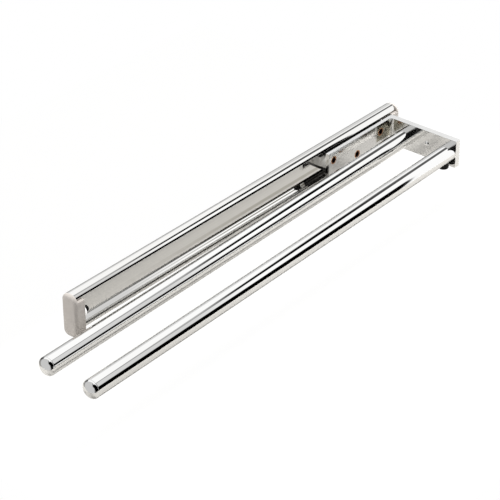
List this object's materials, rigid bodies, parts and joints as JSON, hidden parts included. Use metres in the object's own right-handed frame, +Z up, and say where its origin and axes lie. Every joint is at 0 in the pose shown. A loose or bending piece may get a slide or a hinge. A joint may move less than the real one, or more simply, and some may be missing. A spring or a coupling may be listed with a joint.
{
  "type": "pull-out towel rack",
  "caption": "Side-mounted pull-out towel rack: round chrome arms on an L bracket that slides along a polished aluminium wall rail with plastic end caps.",
  "frame": {"origin": "on the rail's flat back, which is the wall plane, midway between the two screw holes", "axes": "+X away from the wall, towards the arms; -Y the pull-out direction along the rail; +Z up"},
  "size_m": [0.0841, 0.4492, 0.0361],
  "materials": {
    "rail_aluminium": "polished",
    "polished_chrome": "mirror polished",
    "cap_plastic": "moulded satin",
    "runner_plastic": "moulded satin",
    "collar_nylon": "white nylon",
    "stop_rubber": "matt black",
    "rivet_brass": "plain brass",
    "plated_steel": "zinc plated"
  },
  "bodies": {
    "rail": {"rail_profile": "rail_aluminium", "front_end_cap": "cap_plastic", "rear_end_cap": "cap_plastic", "front_stop_collar": "collar_nylon", "rear_stop_collar": "collar_nylon", "front_stop_tip": "stop_rubber", "rear_stop_tip": "stop_rubber"},
    "carriage": {"runner": "runner_plastic", "carriage_bracket": "polished_chrome", "runner_rivets": "rivet_brass", "rivet_washers": "plated_steel", "inner_arm_tube": "polished_chrome", "outer_arm_tube": "polished_chrome", "inner_arm_end": "polished_chrome", "outer_arm_end": "polished_chrome", "inner_arm_insert": "plated_steel", "outer_arm_insert": "plated_steel", "arm_screws": "plated_steel", "plate_rivet": "polished_chrome", "outer_arm_foot": "stop_rubber"}
  },
  "joints": [
    {"name": "carriage_slide", "type": "slide", "parent": "rail", "child": "carriage", "axis": [0, -1, 0], "range_m": [0, 0.2754]}
  ]
}
